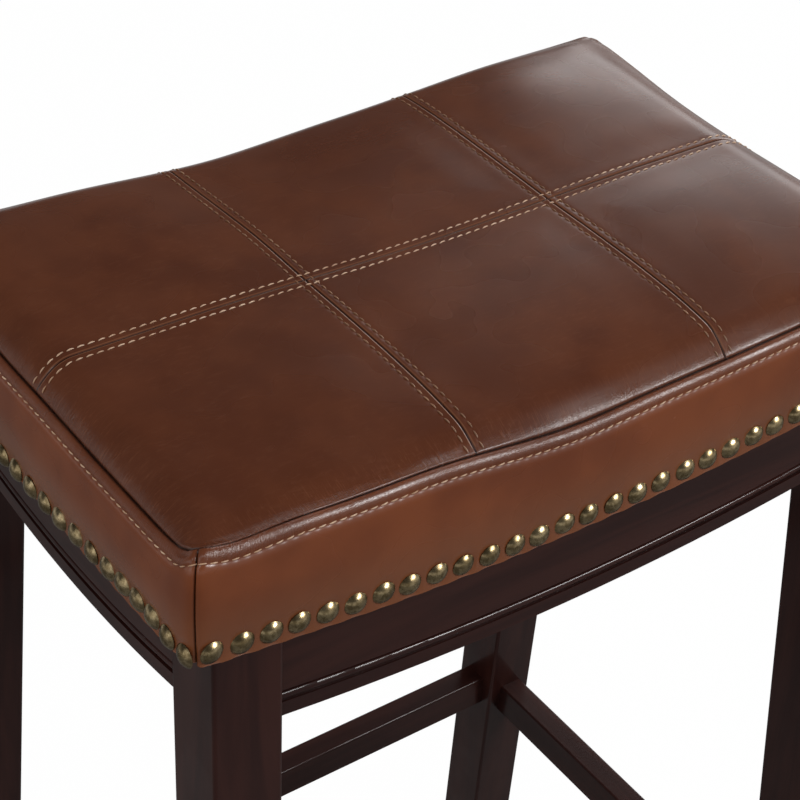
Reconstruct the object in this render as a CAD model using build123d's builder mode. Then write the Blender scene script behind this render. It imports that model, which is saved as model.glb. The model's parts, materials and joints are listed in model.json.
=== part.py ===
from build123d import *
from math import sqrt
import os

# A bar stool: an upholstered saddle seat on a splayed wooden frame.
# Sizes are in millimetres. The floor is Z = 0, the front faces -Y and X runs across.

# Whole stool
seat_height = 762.0
seat_width = 470.0
seat_depth = 305.0
side_splay = 25.0
front_splay = 51.0

# Cushion: the band is the upright side, from its lower edge to the top seam
band_height = 57.0
crown_rise = 16.0
seam_inset = 6.5
corner_radius = 10.0
roll_radius = 16.5
board_dip = 18.0
seam_dip = 13.0
crown_dip = 9.0
side_sag = 4.0

# Cover: six panels and four bands of sewn leather, each panel puffed up between its seams
cover_thickness = 2.0
panel_puff = 1.5
edge_fall = 2.5
seam_gap = 0.4
channel_radius = 1.2

# Filling and seat board
foam_clearance = 0.3
foam_shelf = 0.5
foam_lap = 5.0
board_thickness = 15.0
board_clearance = 0.8

# Domed nails
nail_radius = 6.0
nail_height = 4.0
nail_shoulder_share = 0.8
nail_shoulder_height_share = 0.55
nail_tip_share = 0.4
nail_sides = 8
nail_shank = 1.6
nail_shank_length = 8.5
nail_rise = 6.5
nails_across = 30
nails_deep = 21
front_nail_margin = 10.0
side_nail_margin = 8.0

# Dust cover and its staples
dust_thickness = 0.6
dust_margin = 1.6
dust_chamfer = 34.0
staple_width = 10.0
staple_wire = 1.0
staple_depth = 5.0
staple_margin = 6.0
staples_across = 4
staples_deep = 2

# Legs
leg_width = 38.0
leg_arris = 2.0
leg_inset_side = 14.5
leg_inset_front = 7.7

# Aprons
apron_thickness = 20.0
apron_setback = 4.0
apron_height = 54.0
side_apron_drop = 66.0
side_apron_hollow = 9.0
apron_tenon_thickness = 10.0
apron_tenon_height = 34.0
apron_tenon_drop = 34.0

# Moulding along the aprons: a bead between two quirks
moulding_margin = 8.0
moulding_width = 7.0
quirk_width = 1.6
quirk_depth = 2.0
bead_radius = 1.5

# Stretchers
stretcher_top = 212.0
stretcher_height = 26.0
stretcher_thickness = 18.0
stretcher_step = 6.0
stretcher_arris = 1.5
stretcher_tenon_thickness = 10.0
stretcher_tenon_height = 18.0

# Joints in the wood
tenon_length = 12.0
joint_play = 0.15
mortise_spare = 1.0

# Corner blocks, each with a bolt to its leg, two screws to the aprons and one up to the seat
block_drop = 13.0
block_height = 20.0
block_width = 20.0
hole_play = 0.25
bolt_radius = 3.0
bolt_grip = 21.0
bolt_spare = 3.0
washer_radius = 8.0
washer_thickness = 1.5
nut_radius = 5.8
nut_thickness = 5.0
block_screw_radius = 2.0
block_screw_head_radius = 4.0
block_screw_head_height = 2.6
block_screw_place = 64.0
block_screw_wood = 10.0
block_screw_grip = 14.0
seat_screw_radius = 2.5
seat_screw_head_radius = 5.0
seat_screw_head_height = 3.5
seat_screw_offset = 8.0
seat_screw_grip = 11.0

# Glides under the feet
glide_radius = 10.0
glide_thickness = 3.0
glide_chamfer = 0.8
glide_recess = 1.4
glide_nail_radius = 1.3
glide_nail_length = 16.0
glide_nail_head_radius = 3.2
glide_nail_head_thickness = 1.0

# Cutting tools run this far past what they cut
overrun = 20.0


def arc_radius(half_span, dip):
    """Radius of an arc that drops by a dip over half its span."""
    return (half_span**2 + dip**2) / (2 * dip)


def rise(distance, radius):
    """Height of an arc above its lowest point, at a distance from that point."""
    return radius - sqrt(radius**2 - distance**2)


def hollow_arc(half_span, middle, radius):
    """Arc that is lowest at its middle and ends half a span to either side."""
    end = middle + rise(half_span, radius)
    return ThreePointArc((-half_span, end), (0, middle), (half_span, end))


# Levels, arcs and slopes that the pieces share
edge_height = seat_height - band_height - crown_rise
board_middle = edge_height - board_dip
board_radius = arc_radius(seat_width / 2, board_dip)
seam_middle = edge_height + band_height - seam_dip
seam_radius = arc_radius(seat_width / 2, seam_dip)
crown_middle = seat_height - crown_dip
crown_radius = arc_radius(seat_width / 2 - seam_inset - roll_radius, crown_dip)
wall_radius = arc_radius(band_height, seam_inset)
sag_radius = arc_radius(seat_depth / 2, side_sag)
side_slope = side_splay / edge_height
front_slope = front_splay / edge_height
block_bottom = edge_height - block_drop - block_height
block_level = block_bottom + block_height / 2

# Each corner by its directions along X and Y, and each side by the way that it faces
corners = {
    "front_left": (-1, -1),
    "front_right": (1, -1),
    "back_left": (-1, 1),
    "back_right": (1, 1),
}
sides = {"front": (0, -1), "back": (0, 1), "left": (-1, 0), "right": (1, 0)}


def finish(piece, name):
    """Name a finished piece and write it out."""
    piece.part.label = name
    export_step(piece.part, f"parts/{name}.step")


def hollow_cut(middle, radius, height, plane=Plane.XZ, half_span=seat_width / 2):
    """Solid that starts at a hollow line and runs up, or down where the height is negative."""
    reach = half_span + overrun
    with BuildPart() as cut:
        with BuildSketch(plane):
            with BuildLine():
                line = hollow_arc(reach, middle, radius)
                far = middle + height
                Polyline(line @ 1, (reach, far), (-reach, far), line @ 0)
            make_face()
        extrude(amount=seat_width, both=True)
    return cut.part


foam_bottom = board_thickness + foam_clearance
above_board = hollow_cut(board_middle, board_radius, seat_height)
below_board = hollow_cut(board_middle, board_radius, -seat_height)
below_foam = hollow_cut(board_middle + foam_bottom, board_radius - foam_bottom, -seat_height)
above_seam = hollow_cut(seam_middle, seam_radius, seat_height)
above_bands = hollow_cut(seam_middle - seam_gap / 2, seam_radius, seat_height)
below_panels = hollow_cut(seam_middle + seam_gap / 2, seam_radius, -seat_height)
side_edge = edge_height - side_sag
below_sides = hollow_cut(side_edge, sag_radius, -seat_height, Plane.YZ, seat_depth / 2)


# Cushion forms: the outside of the cover, its inside and the foam are the same forms, inset

def side_form(inset):
    """The cushion's sides as a solid: upright along the board, then drawn in to the top seam."""
    with BuildPart() as form:
        for level in (0, band_height / 2, band_height):
            drawn = inset + rise(level, wall_radius)
            with BuildSketch(Plane.XY.offset(edge_height + level)):
                RectangleRounded(
                    seat_width - 2 * drawn, seat_depth - 2 * drawn, corner_radius - inset
                )
        loft()
        extrude(form.faces().sort_by(Axis.Z)[0], amount=board_dip + side_sag + overrun)
    return form.part


def crown_half(inset):
    """The front half of the cushion's top, with rolled edges and panels that puff up."""
    end = seat_width / 2 - seam_inset - inset
    foot = seam_middle - foam_lap
    half_stations = (
        (end, 0),
        (end - roll_radius, 0),
        (seat_width / 3, 0),
        (seat_width / 6, panel_puff),
    )
    stations = [(-x, drop) for x, drop in half_stations] + [(0, 0)] + list(half_stations[::-1])
    with BuildPart() as half:
        for x, drop in stations:
            top = crown_middle + rise(x, crown_radius) - drop - inset
            seam = seam_middle + rise(x, seam_radius)
            front = seat_depth / 2 - rise(seam - edge_height, wall_radius) - inset
            with BuildSketch(Plane.YZ.offset(x)):
                with BuildLine():
                    crown = ThreePointArc(
                        (0, top - panel_puff), (-front / 2, top), (-front, top - edge_fall)
                    )
                    Polyline(crown @ 1, (-front, foot), (0, foot), crown @ 0)
                make_face()
        loft()
        wall = half.faces().sort_by(Axis.Y)[0]
        ends = (half.faces().sort_by(Axis.X)[0], half.faces().sort_by(Axis.X)[-1])
        rolled = [face.edges().sort_by(Axis.Z)[-1] for face in (wall, *ends)]
        fillet(rolled, radius=roll_radius - inset)
        radius = corner_radius - inset
        with BuildSketch(Plane.XY.offset(foot)):
            for side, align in ((-1, Align.MAX), (1, Align.MIN)):
                with Locations((side * (end - radius), radius - front)):
                    Rectangle(radius + overrun, radius + overrun, align=(align, Align.MAX))
                    Circle(radius, mode=Mode.SUBTRACT)
        extrude(amount=seat_height - foot, mode=Mode.SUBTRACT)
    return half.part


# Domed nails, drawn once and set in a row along each side

with BuildPart() as nail:
    with BuildSketch():
        RegularPolygon(nail_radius, nail_sides)
    with BuildSketch(Plane.XY.offset(nail_height * nail_shoulder_height_share)):
        RegularPolygon(nail_radius * nail_shoulder_share, nail_sides)
    with BuildSketch(Plane.XY.offset(nail_height)):
        RegularPolygon(nail_radius * nail_tip_share, nail_sides)
    loft(ruled=True)
    with BuildSketch():
        Rectangle(nail_shank, nail_shank)
    extrude(amount=-nail_shank_length)


def spread(count, first, last):
    """Evenly spaced places from the first to the last."""
    return [first + (last - first) * index / (count - 1) for index in range(count)]


front_places = []
for x in spread(nails_across, front_nail_margin - seat_width / 2, seat_width / 2 - front_nail_margin):
    z = board_middle + rise(x, board_radius) + nail_rise
    front_places.append(Plane((x, -seat_depth / 2, z), x_dir=(1, 0, 0), z_dir=(0, -1, 0)))

left_places = []
for y in spread(nails_deep, side_nail_margin - seat_depth / 2, seat_depth / 2 - side_nail_margin):
    z = edge_height - side_sag + rise(y, sag_radius) + nail_rise
    left_places.append(Plane((-seat_width / 2, y, z), x_dir=(0, -1, 0), z_dir=(-1, 0, 0)))

with BuildPart() as nails_front:
    with Locations(*front_places):
        add(nail.part)

with BuildPart() as nails_back:
    mirror(nails_front.part, about=Plane.XZ)

with BuildPart() as nails_left:
    with Locations(*left_places):
        add(nail.part)

with BuildPart() as nails_right:
    mirror(nails_left.part, about=Plane.YZ)


# Bands: a ring of leather, cut at the corner seams

with BuildPart() as ring:
    add(side_form(0))
    add(side_form(cover_thickness), mode=Mode.SUBTRACT)
    add(above_bands, mode=Mode.SUBTRACT)


def band_room(x_dir, half_length, half_width):
    """Room of one band: a wedge that ends in the corner seams, at 45 degrees in plan."""
    depth = half_width / 2
    gap = seam_gap / sqrt(2)
    floor = Plane((0, 0, board_middle - overrun), x_dir=x_dir, z_dir=(0, 0, 1))
    with BuildPart() as room:
        with BuildSketch(floor):
            with BuildLine():
                Polyline(
                    (gap - half_length - overrun, -half_width - overrun),
                    (half_length + overrun - gap, -half_width - overrun),
                    (half_length - depth - gap, depth - half_width),
                    (depth + gap - half_length, depth - half_width),
                    close=True,
                )
            make_face()
        extrude(amount=seat_height - board_middle)
    return room.part


with BuildPart() as band_front:
    add(ring.part)
    add(band_room((1, 0, 0), seat_width / 2, seat_depth / 2), mode=Mode.INTERSECT)
    add(below_board, mode=Mode.SUBTRACT)
    add(nails_front.part, mode=Mode.SUBTRACT)

with BuildPart() as band_back:
    mirror(band_front.part, about=Plane.XZ)

with BuildPart() as band_left:
    add(ring.part)
    add(band_room((0, -1, 0), seat_depth / 2, seat_width / 2), mode=Mode.INTERSECT)
    add(below_sides, mode=Mode.SUBTRACT)
    add(nails_left.part, mode=Mode.SUBTRACT)

with BuildPart() as band_right:
    mirror(band_left.part, about=Plane.YZ)


# Panels: three columns of the crown, with edges that turn down into the seams between them

with BuildPart() as half_cover:
    add(crown_half(0))
    add(crown_half(cover_thickness), mode=Mode.SUBTRACT)
    add(below_panels, mode=Mode.SUBTRACT)


def panel(first, last):
    """A front panel between two places across the seat, or out to a side of it."""
    outer_sides = (-seat_width / 2, seat_width / 2)
    with BuildPart() as piece:
        with BuildSketch(Plane.XY.offset(edge_height)):
            with Locations((first + seam_gap / 2, -seam_gap / 2)):
                Rectangle(last - first - seam_gap, seat_depth / 2, align=(Align.MIN, Align.MAX))
        extrude(amount=seat_height - edge_height + overrun)
        add(half_cover.part, mode=Mode.INTERSECT)
        sewn = [piece.faces().sort_by(Axis.Y)[-1]]
        if first not in outer_sides:
            sewn.append(piece.faces().sort_by(Axis.X)[0])
        if last not in outer_sides:
            sewn.append(piece.faces().sort_by(Axis.X)[-1])
        fillet([face.edges().sort_by(Axis.Z)[-1] for face in sewn], radius=channel_radius)
    return piece.part


with BuildPart() as panel_front_left:
    add(panel(-seat_width / 2, -seat_width / 6))

with BuildPart() as panel_front_middle:
    add(panel(-seat_width / 6, seat_width / 6))

with BuildPart() as panel_front_right:
    mirror(panel_front_left.part, about=Plane.YZ)

with BuildPart() as panel_back_left:
    mirror(panel_front_left.part, about=Plane.XZ)

with BuildPart() as panel_back_middle:
    mirror(panel_front_middle.part, about=Plane.XZ)

with BuildPart() as panel_back_right:
    mirror(panel_front_right.part, about=Plane.XZ)


# Foam: fills the cover, with a small shelf along the seam, and follows the board below

with BuildPart() as foam_pad:
    add(side_form(cover_thickness + foam_clearance))
    add(above_seam, mode=Mode.SUBTRACT)
    foam_crown = crown_half(cover_thickness + foam_clearance + foam_shelf)
    add(foam_crown)
    mirror(foam_crown, about=Plane.XZ)
    add(below_foam, mode=Mode.SUBTRACT)


# Legs: square posts that lean outwards to their feet

def leg_corner(level):
    """Where a leg's outer corner stands at a level, from the middle of the stool."""
    drop = edge_height - level
    return (
        seat_width / 2 - leg_inset_side + side_slope * drop,
        seat_depth / 2 - leg_inset_front + front_slope * drop,
    )


def leg_point(corner, across, along, level):
    """A place measured inwards along X and Y from a leg's outer corner."""
    x, y = leg_corner(level)
    return (corner[0] * (x - across), corner[1] * (y - along), level)


feet = [
    leg_point(corner, leg_width / 2, leg_width / 2, glide_thickness) for corner in corners.values()
]


def leg_post(corner, foot):
    """A leg before it is cut under the board and for its joints."""
    lean = Vector(-corner[0] * side_slope, -corner[1] * front_slope, 1)
    with BuildPart() as post:
        with BuildSketch(Plane(foot)):
            RectangleRounded(leg_width, leg_width, leg_arris)
        extrude(amount=(edge_height - glide_thickness + overrun) * lean.length, dir=lean)
    return post.part


posts = {name: leg_post(corners[name], foot) for name, foot in zip(corners, feet)}


# Rails: an apron and a stretcher on each side, tenoned into the legs

def is_long(side):
    """Whether a side is the front or the back."""
    return side in ("front", "back")


def apron_face(side):
    """Plane of an apron's outer face, which leans with the legs."""
    x, y = sides[side]
    away = seat_depth / 2 - leg_inset_front if is_long(side) else seat_width / 2 - leg_inset_side
    slope = front_slope if is_long(side) else side_slope
    legs_face = Plane((x * away, y * away, edge_height), x_dir=(-y, x, 0), z_dir=(x, y, slope))
    return legs_face.offset(-apron_setback)


def stretcher_level(side):
    """Height of a stretcher's middle: the side ones stand a step lower."""
    top = stretcher_top if is_long(side) else stretcher_top - stretcher_step
    return top - stretcher_height / 2


def stretcher_plane(side):
    """Upright plane through a stretcher, in the middle of its legs."""
    x, y = sides[side]
    level = stretcher_level(side)
    away = leg_corner(level)[1 if is_long(side) else 0] - leg_width / 2
    return Plane((x * away, y * away, level), x_dir=(-y, x, 0), z_dir=(x, y, 0))


def shoulder(side, level):
    """Distance from the middle of a rail to the legs at its ends."""
    return leg_corner(level)[0 if is_long(side) else 1] - leg_width


def tenons(side, rail, play=0, spare=0):
    """The two tenons of a rail, or the mortises that take them, with their play."""
    if rail == "apron":
        plane = apron_face(side).offset(-apron_thickness / 2)
        level = -apron_tenon_drop
        reach = shoulder(side, edge_height - apron_tenon_drop)
        thickness = apron_tenon_thickness
        height = apron_tenon_height
    else:
        plane = stretcher_plane(side)
        level = 0
        reach = shoulder(side, stretcher_level(side))
        thickness = stretcher_tenon_thickness
        height = stretcher_tenon_height
    with BuildPart() as pair:
        with BuildSketch(plane):
            with Locations((-reach, level), (reach, level)):
                Rectangle(2 * (tenon_length + spare), height + 2 * play)
        extrude(amount=thickness / 2 + play, both=True)
    return pair.part


def neighbours(side):
    """The two legs that a rail stands between."""
    return [name for name in corners if side in name]


def apron_edge(side):
    """Half length, lowest point and radius of an apron's lower edge, drawn past its shoulders."""
    half = shoulder(side, edge_height)
    if is_long(side):
        return half + tenon_length, -board_dip - apron_height, board_radius + apron_height
    return half + tenon_length, -side_apron_drop, arc_radius(half, side_apron_hollow)


def apron_strip(side, depth, margin, width):
    """Strip that follows an apron's lower edge, at a depth behind its face."""
    reach, middle, radius = apron_edge(side)
    top = margin + width
    with BuildSketch(apron_face(side).offset(-depth)) as strip:
        with BuildLine():
            lower = hollow_arc(reach, middle + margin, radius - margin)
            upper = hollow_arc(reach, middle + top, radius - top)
            Line(lower @ 0, upper @ 0)
            Line(lower @ 1, upper @ 1)
        make_face()
    return strip.sketch


def apron_body(side):
    """An apron with a hollow lower edge, and the groove that its bead stands in."""
    reach, middle, radius = apron_edge(side)
    with BuildPart() as rail:
        with BuildSketch(apron_face(side)):
            with BuildLine():
                lower = hollow_arc(reach, middle, radius)
                Polyline(lower @ 1, (reach, overrun), (-reach, overrun), lower @ 0)
            make_face()
        extrude(amount=-apron_thickness)
        groove = apron_strip(side, 0, moulding_margin, moulding_width)
        extrude(groove, amount=-quirk_depth, mode=Mode.SUBTRACT)
        for name in neighbours(side):
            add(posts[name], mode=Mode.SUBTRACT)
        add(above_board, mode=Mode.SUBTRACT)
        add(tenons(side, "apron"))
    return rail.part


def apron_bead(side):
    """The bead along an apron, with its two outer edges rounded, between a quirk on each side."""
    margin = moulding_margin + quirk_width
    strip = apron_strip(side, quirk_depth, margin, moulding_width - 2 * quirk_width)
    face = apron_face(side)
    with BuildPart() as bead:
        extrude(strip, amount=quirk_depth)
        for name in neighbours(side):
            add(posts[name], mode=Mode.SUBTRACT)
        arcs = bead.edges().filter_by(GeomType.CIRCLE).sort_by(Axis(face.origin, face.z_dir))
        fillet(arcs[-2:], radius=bead_radius)
    return bead.part


def stretcher(side):
    """A plain stretcher with its edges eased."""
    plane = stretcher_plane(side)
    with BuildPart() as rail:
        with BuildSketch(Plane(plane.origin, x_dir=plane.z_dir, z_dir=plane.x_dir)):
            RectangleRounded(stretcher_thickness, stretcher_height, stretcher_arris)
        extrude(amount=shoulder(side, stretcher_level(side)) + tenon_length, both=True)
        for name in neighbours(side):
            add(posts[name], mode=Mode.SUBTRACT)
        add(tenons(side, "stretcher"))
    return rail.part


apron_bodies = {side: apron_body(side) for side in sides}


# Leg bolts: through the corner block and into the leg along the corner's diagonal

block_reach = 2 * leg_width + block_width * sqrt(2)
bolt_seats = [
    Plane(
        leg_point(corner, block_reach / 2, block_reach / 2, block_level),
        x_dir=(0, 0, 1),
        z_dir=(-corner[0], -corner[1], 0),
    )
    for corner in corners.values()
]

with BuildPart() as leg_bolts:
    with BuildSketch(*[seat.offset(-block_width - bolt_grip) for seat in bolt_seats]):
        Circle(bolt_radius)
    extrude(amount=block_width + bolt_grip + washer_thickness + nut_thickness + bolt_spare)

with BuildPart() as leg_bolt_washers:
    with BuildSketch(*bolt_seats):
        Circle(washer_radius)
        Circle(bolt_radius + hole_play, mode=Mode.SUBTRACT)
    extrude(amount=washer_thickness)

with BuildPart() as leg_bolt_nuts:
    with BuildSketch(*[seat.offset(washer_thickness) for seat in bolt_seats]):
        RegularPolygon(nut_radius, side_count=6)
        Circle(bolt_radius, mode=Mode.SUBTRACT)
    extrude(amount=nut_thickness)


# Block screws: two in each corner block, into the aprons at its ends

screw_seat = apron_setback + apron_thickness + block_screw_wood
screw_seats = []
for corner in corners.values():
    to_long = leg_point(corner, block_screw_place, screw_seat, block_level)
    screw_seats.append(Plane(to_long, x_dir=(0, 0, 1), z_dir=(0, -corner[1], 0)))
    to_side = leg_point(corner, screw_seat, block_screw_place, block_level)
    screw_seats.append(Plane(to_side, x_dir=(0, 0, 1), z_dir=(-corner[0], 0, 0)))

with BuildPart() as block_screws:
    with BuildSketch(*screw_seats):
        Circle(block_screw_radius)
    extrude(amount=-block_screw_wood - block_screw_grip)
    with BuildSketch(*screw_seats):
        Circle(block_screw_head_radius)
    extrude(amount=block_screw_head_height)


# Seat screws: up through the corner blocks and the gap above them, into the board

def board_underside(x):
    return board_middle + rise(x, board_radius)


seat_screw_across = block_reach / 2 - block_width / sqrt(2) / 2 + seat_screw_offset
seat_screw_along = seat_screw_across - 2 * seat_screw_offset
seat_screw_places = [
    leg_point(corner, seat_screw_across, seat_screw_along, block_bottom)
    for corner in corners.values()
]
seat_screw_top = board_underside(seat_screw_places[0][0]) + seat_screw_grip

with BuildPart() as seat_screws:
    with BuildSketch(*[Plane(place) for place in seat_screw_places]):
        Circle(seat_screw_radius)
    extrude(amount=seat_screw_top - block_bottom)
    with BuildSketch(*[Plane(place) for place in seat_screw_places]):
        Circle(seat_screw_head_radius)
    extrude(amount=-seat_screw_head_height)


# Corner blocks: set across each corner behind the leg, between the aprons

def corner_block(name):
    corner = corners[name]
    near = apron_setback + apron_thickness / 2
    outline = (
        (near, 2 * leg_width - near),
        (2 * leg_width - near, near),
        (block_reach - near, near),
        (near, block_reach - near),
    )
    with BuildPart() as block:
        with BuildSketch(Plane.XY.offset(block_bottom)):
            with BuildLine():
                places = [leg_point(corner, *point, block_level)[:2] for point in outline]
                Polyline(*places, close=True)
            make_face()
        extrude(amount=block_height)
        add(posts[name], mode=Mode.SUBTRACT)
        for side in sides:
            if side in name:
                add(apron_bodies[side], mode=Mode.SUBTRACT)
        with BuildSketch(*[seat.offset(overrun) for seat in bolt_seats]):
            Circle(bolt_radius + hole_play)
        extrude(amount=-2 * overrun - block_width, mode=Mode.SUBTRACT)
        with BuildSketch(*screw_seats):
            Circle(block_screw_head_radius + hole_play)
        extrude(amount=overrun, mode=Mode.SUBTRACT)
        with BuildSketch(*[Plane(place) for place in seat_screw_places]):
            Circle(seat_screw_radius + hole_play)
        extrude(amount=block_height, mode=Mode.SUBTRACT)
        add(block_screws.part, mode=Mode.SUBTRACT)
    return block.part


# Glides: a disc under each foot, recessed for the head of its nail

with BuildPart() as glides:
    with BuildSketch(*[Plane(foot) for foot in feet]):
        Circle(glide_radius)
    extrude(amount=-glide_thickness)
    rims = glides.faces().group_by(Axis.Z)[0].edges()
    chamfer(rims, length=glide_chamfer)
    floor_places = [Plane((x, y, 0)) for x, y, z in feet]
    with BuildSketch(*floor_places):
        Circle(glide_nail_head_radius + hole_play)
    extrude(amount=glide_recess, mode=Mode.SUBTRACT)
    with BuildSketch(*floor_places):
        Circle(glide_nail_radius)
    extrude(amount=glide_thickness, mode=Mode.SUBTRACT)

with BuildPart() as glide_nails:
    with BuildSketch(*[place.offset(glide_recess) for place in floor_places]):
        Circle(glide_nail_radius)
    extrude(amount=glide_nail_length)
    with BuildSketch(*[place.offset(glide_recess) for place in floor_places]):
        Circle(glide_nail_head_radius)
    extrude(amount=-glide_nail_head_thickness)


# The legs and aprons with their joints and holes cut

legs = {}
for name in corners:
    with BuildPart() as leg:
        add(posts[name])
        add(above_board, mode=Mode.SUBTRACT)
        for side in sides:
            if side in name:
                add(tenons(side, "apron", joint_play, mortise_spare), mode=Mode.SUBTRACT)
                add(tenons(side, "stretcher", joint_play, mortise_spare), mode=Mode.SUBTRACT)
        add(leg_bolts.part, mode=Mode.SUBTRACT)
        add(glide_nails.part, mode=Mode.SUBTRACT)
    legs[name] = leg

aprons = {}
for side in sides:
    with BuildPart() as rail:
        add(apron_bodies[side])
        add(block_screws.part, mode=Mode.SUBTRACT)
        add(apron_bead(side))
    aprons[side] = rail


# Dust cover: cloth under the board, inside the aprons, with its corners cut off at the legs

dust_half_width = seat_width / 2 - leg_inset_side - apron_setback - apron_thickness - dust_margin
dust_half_depth = seat_depth / 2 - leg_inset_front - apron_setback - apron_thickness - dust_margin
dust_middle = board_middle - dust_thickness
dust_radius = board_radius + dust_thickness


def staple_place(x, y, along):
    """Where a staple sits under the dust cover, lying along X or along Y."""
    level = dust_middle + rise(x, dust_radius)
    upright = sqrt(dust_radius**2 - x**2)
    x_dir = (upright, 0, x) if along == "X" else (0, 1, 0)
    return Plane((x, y, level), x_dir=x_dir, z_dir=(-x, 0, upright))


straight_width = dust_half_width - dust_chamfer
straight_depth = dust_half_depth - dust_chamfer
staple_row = dust_half_depth - staple_margin
staple_column = dust_half_width - staple_margin
staple_places = []
for side in (-1, 1):
    for x in spread(staples_across, -straight_width, straight_width):
        staple_places.append(staple_place(x, side * staple_row, "X"))
    for y in spread(staples_deep, -straight_depth, straight_depth):
        staple_places.append(staple_place(side * staple_column, y, "Y"))

with BuildPart() as staple:
    with Locations((0, 0, -staple_wire / 2)):
        Box(staple_width, staple_wire, staple_wire)
    prong = (staple_width - staple_wire) / 2
    with BuildSketch():
        with Locations((-prong, 0), (prong, 0)):
            Rectangle(staple_wire, staple_wire)
    extrude(amount=dust_thickness + staple_depth)

with BuildPart() as staples:
    with Locations(*staple_places):
        add(staple.part)

with BuildPart() as dust_cover:
    with BuildSketch(Plane.XY.offset(board_middle - overrun)) as outline:
        Rectangle(2 * dust_half_width, 2 * dust_half_depth)
        chamfer(outline.vertices(), length=dust_chamfer)
    extrude(amount=board_dip + 2 * overrun)
    add(above_board, mode=Mode.SUBTRACT)
    add(hollow_cut(dust_middle, dust_radius, -seat_height), mode=Mode.SUBTRACT)
    add(staples.part, mode=Mode.SUBTRACT)
    add(seat_screws.part, mode=Mode.SUBTRACT)


# Seat board: plywood bent to the saddle, with a hole for each nail, staple and screw

board_margin = cover_thickness + board_clearance
board_top = board_middle + board_thickness

with BuildPart() as seat_board:
    with BuildSketch(Plane.XY.offset(board_middle - overrun)):
        RectangleRounded(
            seat_width - 2 * board_margin,
            seat_depth - 2 * board_margin,
            corner_radius - board_margin,
        )
    extrude(amount=board_dip + board_thickness + 2 * overrun)
    add(below_board, mode=Mode.SUBTRACT)
    add(hollow_cut(board_top, board_radius - board_thickness, seat_height), mode=Mode.SUBTRACT)
    for nails in (nails_front, nails_back, nails_left, nails_right):
        add(nails.part, mode=Mode.SUBTRACT)
    add(staples.part, mode=Mode.SUBTRACT)
    add(seat_screws.part, mode=Mode.SUBTRACT)


# Write every piece

os.makedirs("parts", exist_ok=True)

finish(panel_front_left, "panel_front_left")
finish(panel_front_middle, "panel_front_middle")
finish(panel_front_right, "panel_front_right")
finish(panel_back_left, "panel_back_left")
finish(panel_back_middle, "panel_back_middle")
finish(panel_back_right, "panel_back_right")
finish(band_front, "band_front")
finish(band_back, "band_back")
finish(band_left, "band_left")
finish(band_right, "band_right")
finish(nails_front, "nails_front")
finish(nails_back, "nails_back")
finish(nails_left, "nails_left")
finish(nails_right, "nails_right")
finish(foam_pad, "foam_pad")
finish(seat_board, "seat_board")
finish(dust_cover, "dust_cover")
finish(staples, "staples")
finish(seat_screws, "seat_screws")
finish(block_screws, "block_screws")
finish(leg_bolts, "leg_bolts")
finish(leg_bolt_washers, "leg_bolt_washers")
finish(leg_bolt_nuts, "leg_bolt_nuts")
finish(glides, "glides")
finish(glide_nails, "glide_nails")

for name, leg in legs.items():
    finish(leg, f"leg_{name}")

for side, rail in aprons.items():
    finish(rail, f"apron_{side}")

for side in sides:
    with BuildPart() as bar:
        add(stretcher(side))
    finish(bar, f"stretcher_{side}")

for name in corners:
    with BuildPart() as block:
        add(corner_block(name))
    finish(block, f"corner_block_{name}")
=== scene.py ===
import json
import math
import random

import bpy
from mathutils import Matrix, Vector
from mathutils.kdtree import KDTree


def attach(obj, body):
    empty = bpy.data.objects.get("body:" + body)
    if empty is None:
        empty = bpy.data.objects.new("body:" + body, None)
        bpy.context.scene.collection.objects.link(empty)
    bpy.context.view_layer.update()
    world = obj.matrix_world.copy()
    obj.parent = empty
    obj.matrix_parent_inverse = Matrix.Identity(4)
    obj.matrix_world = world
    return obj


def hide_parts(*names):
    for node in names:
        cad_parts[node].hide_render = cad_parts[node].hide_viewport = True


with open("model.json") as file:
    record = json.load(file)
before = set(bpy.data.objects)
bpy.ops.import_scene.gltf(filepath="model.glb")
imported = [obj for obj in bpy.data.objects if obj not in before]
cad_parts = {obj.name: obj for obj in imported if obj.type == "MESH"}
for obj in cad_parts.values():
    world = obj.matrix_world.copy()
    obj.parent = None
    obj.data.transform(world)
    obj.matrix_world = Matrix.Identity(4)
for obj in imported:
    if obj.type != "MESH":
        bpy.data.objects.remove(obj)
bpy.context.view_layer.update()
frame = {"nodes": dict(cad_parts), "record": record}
nodes = frame["nodes"]
scene = bpy.context.scene
scene.view_settings.view_transform = "Standard"

MM = 0.001

# Seat and its board, in metres
seat_width = 0.470
seat_depth = 0.305
edge_height = 0.689
side_sag = 0.004
board_middle = 0.671
board_thickness = 0.015
board_dip = 0.018

# Cover: its bands and the rolls of its edges
leather = 0.0024
band_height = 0.057
seam_inset = 0.0065
shoulder = 0.006
corner_radius = 0.009
front_roll = 0.018
back_roll = 0.014
left_roll = 0.021
right_roll = 0.030
roll_power = 2.3
let_out_reach = 0.06
even_drop = 0.014
side_squeeze = 0.2
side_squeeze_reach = 0.02
corner_squeeze = 0.25

# Edge seam: a saddle that sags along its ends
seam_middle = 0.7366
seam_lift = 0.0157
seam_flatness = 0.0050
seam_skew = 0.0139
seam_sag = 0.0045
ends_from = 0.17
ends_reach = 0.05

# The left side sags more, stands further out, and climbs again at its front corner
left_sag = 0.0057
left_sag_reach = 0.06
left_fullness = 0.0015
left_from = 0.16
left_reach = 0.06
left_corner_reach = 0.016
left_corner_share = 0.25
corner_rise = 0.0034
corner_rise_across = 0.014
corner_rise_deep = 0.009

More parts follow.
